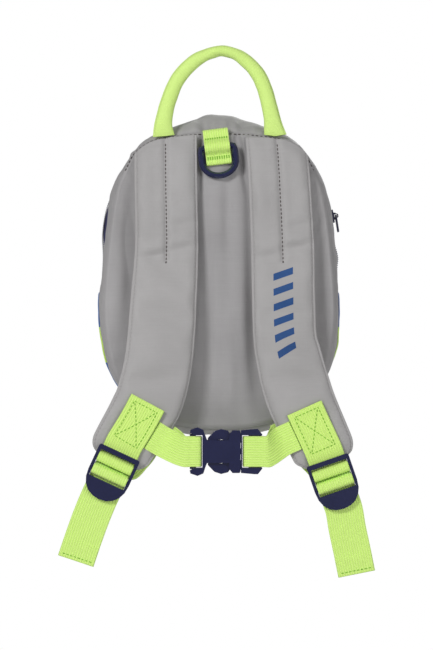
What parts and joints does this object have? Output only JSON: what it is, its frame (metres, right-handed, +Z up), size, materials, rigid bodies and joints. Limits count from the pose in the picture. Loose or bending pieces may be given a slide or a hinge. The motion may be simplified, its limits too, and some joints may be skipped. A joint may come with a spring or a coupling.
{
  "type": "toddler backpack",
  "caption": "Small round-topped child's backpack with padded shoulder straps, chest strap buckle, ladder-lock adjusters, tubular grab handle, rein ring and zipped front, hanging by its handle.",
  "frame": {"origin": "where a hook bears, under the top of the grab handle's arch", "axes": "+X to the right of someone who looks at the worn side, +Z up, -Y out of the worn side, +Y towards the zipped front"},
  "size_m": [0.2582, 0.141, 0.4379],
  "materials": {
    "body_cloth": "woven grey polyester",
    "strap_cloth": "woven grey polyester over foam",
    "check_cloth": "blue and lime checked cloth",
    "zip_tape": "navy zip tape and coil",
    "zip_metal": "navy painted slider",
    "lime_webbing": "ribbed lime webbing",
    "navy_plastic": "moulded navy plastic"
  },
  "bodies": {
    "bag": {"back_panel": "body_cloth", "rear_gusset": "body_cloth", "front_gusset": "body_cloth", "front_panel": "body_cloth", "check_band": "check_cloth", "zip_chain": "zip_tape", "zip_slider": "zip_metal", "shoulder_strap_left": "strap_cloth", "shoulder_strap_right": "strap_cloth", "strap_webbing_left": "lime_webbing", "strap_webbing_right": "lime_webbing", "adjuster_webbing_left": "lime_webbing", "adjuster_webbing_right": "lime_webbing", "ladder_lock_left": "navy_plastic", "ladder_lock_right": "navy_plastic", "buckle_female": "navy_plastic", "buckle_male": "navy_plastic", "chest_webbing_left": "lime_webbing", "chest_webbing_right": "lime_webbing", "handle": "lime_webbing", "ring_tab": "lime_webbing"},
    "rein_ring": {"d_ring": "navy_plastic"},
    "zip_pull": {"zip_puller": "zip_metal"}
  },
  "joints": [
    {"name": "ring_hinge", "type": "hinge", "parent": "bag", "child": "rein_ring", "pos_m": [-0.0019, -0.0095, -0.0754], "axis": [-0.9925, 0, -0.1219], "range_deg": [0, 110]},
    {"name": "puller_hinge", "type": "hinge", "parent": "bag", "child": "zip_pull", "pos_m": [0.09837, 0.03926, -0.13043], "axis": [0.0158, -0.9999, 0.0025], "range_deg": [0, 150]}
  ]
}
